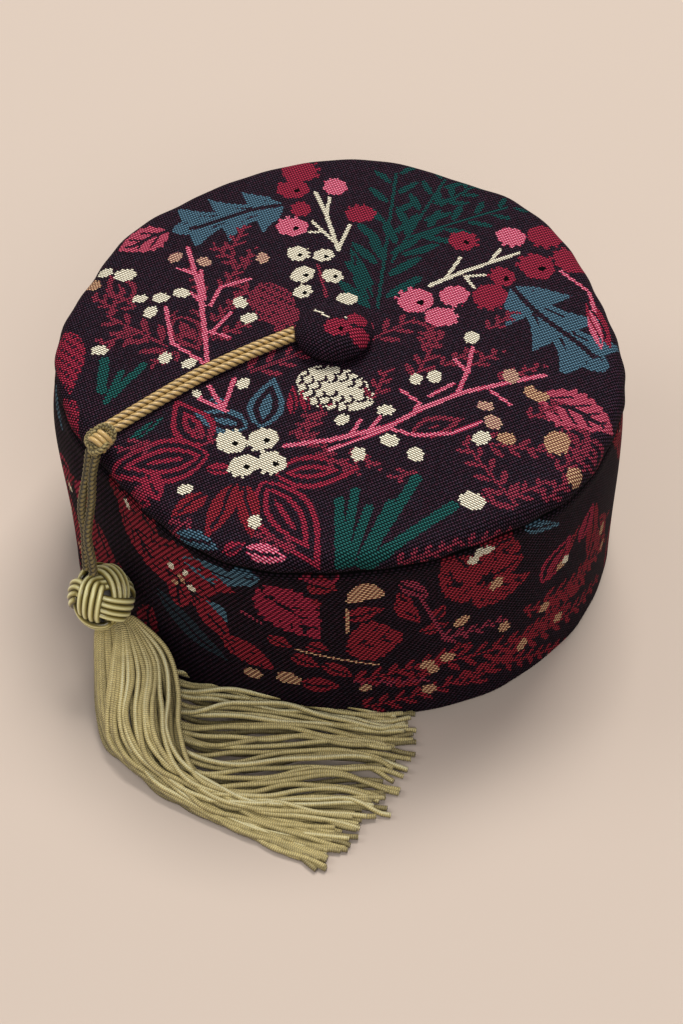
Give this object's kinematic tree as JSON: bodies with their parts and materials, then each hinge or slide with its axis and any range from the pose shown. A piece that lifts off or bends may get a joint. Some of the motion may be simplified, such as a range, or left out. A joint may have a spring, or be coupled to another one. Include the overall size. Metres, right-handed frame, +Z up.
{
  "type": "smoking cap",
  "caption": "Round flat-topped cloth cap with a covered button, a cord laid over its edge to a woven ball knot, and a long tassel that lies beside it.",
  "frame": {"origin": "on the resting surface, under the middle of the cap without its cords and tassel", "axes": "+Z up out of the crown, +X to the viewer's right, -Y towards the side where the tassel lies"},
  "size_m": [0.1919, 0.2521, 0.0967],
  "materials": {
    "jacquard_cloth": "matt woven jacquard, dark ground with coloured winter sprays",
    "gold_satin_rope": "twisted rope with a satin sheen",
    "olive_cord": "knitted cord with a soft sheen",
    "olive_satin": "smooth satin cord",
    "olive_gimp": "ribbed gimp strands with a soft sheen"
  },
  "bodies": {
    "root": {"side_band": "jacquard_cloth", "crown_top": "jacquard_cloth", "covered_button": "jacquard_cloth", "top_cord_a": "gold_satin_rope", "top_cord_b": "gold_satin_rope", "edge_knot": "olive_cord", "hanging_cord_a": "olive_cord", "hanging_cord_b": "olive_cord", "turks_head_knot": "olive_satin", "tassel_skirt": "olive_gimp"}
  },
  "joints": []
}
